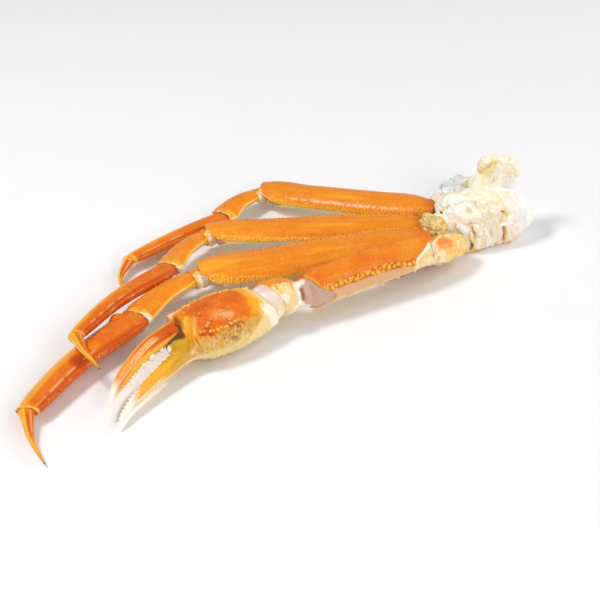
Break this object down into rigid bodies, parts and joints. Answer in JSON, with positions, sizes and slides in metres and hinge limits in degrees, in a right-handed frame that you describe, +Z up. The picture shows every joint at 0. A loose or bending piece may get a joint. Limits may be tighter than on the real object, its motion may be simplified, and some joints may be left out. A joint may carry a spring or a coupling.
{
  "type": "snow crab cluster",
  "caption": "Cooked snow crab cluster lying flat: walking legs and claw arm of one side, joined at a shoulder of white meat with a crust of ice.",
  "frame": {"origin": "centre of the bounding box, on the surface that it lies on", "axes": "+X from the leg tips to the shoulder, along the length; +Y from the claw to the legs; +Z up"},
  "size_m": [0.2995, 0.203, 0.0439],
  "materials": {
    "shell": "smooth cooked shell, orange above and cream below",
    "membrane": "soft pinkish-cream joint skin",
    "meat": "moist flaky white meat with pale yellow folds",
    "ice": "frosted ice"
  },
  "bodies": {
    "root": {"leg_a_merus": "shell", "leg_a_knee": "membrane", "leg_a_carpus": "shell", "leg_a_propodus": "shell", "leg_a_dactyl": "shell", "leg_b_merus": "shell", "leg_b_knee": "membrane", "leg_b_carpus": "shell", "leg_b_propodus": "shell", "leg_b_dactyl": "shell", "leg_c_merus": "shell", "leg_c_knee": "membrane", "leg_c_carpus": "shell", "leg_c_propodus": "shell", "leg_c_dactyl": "shell", "arm_ischium": "membrane", "arm_merus": "shell", "arm_knee": "membrane", "arm_carpus": "shell", "arm_wrist": "membrane", "claw_palm": "shell", "claw_finger": "shell", "shoulder_meat": "meat", "ice_crust": "ice"}
  },
  "joints": []
}
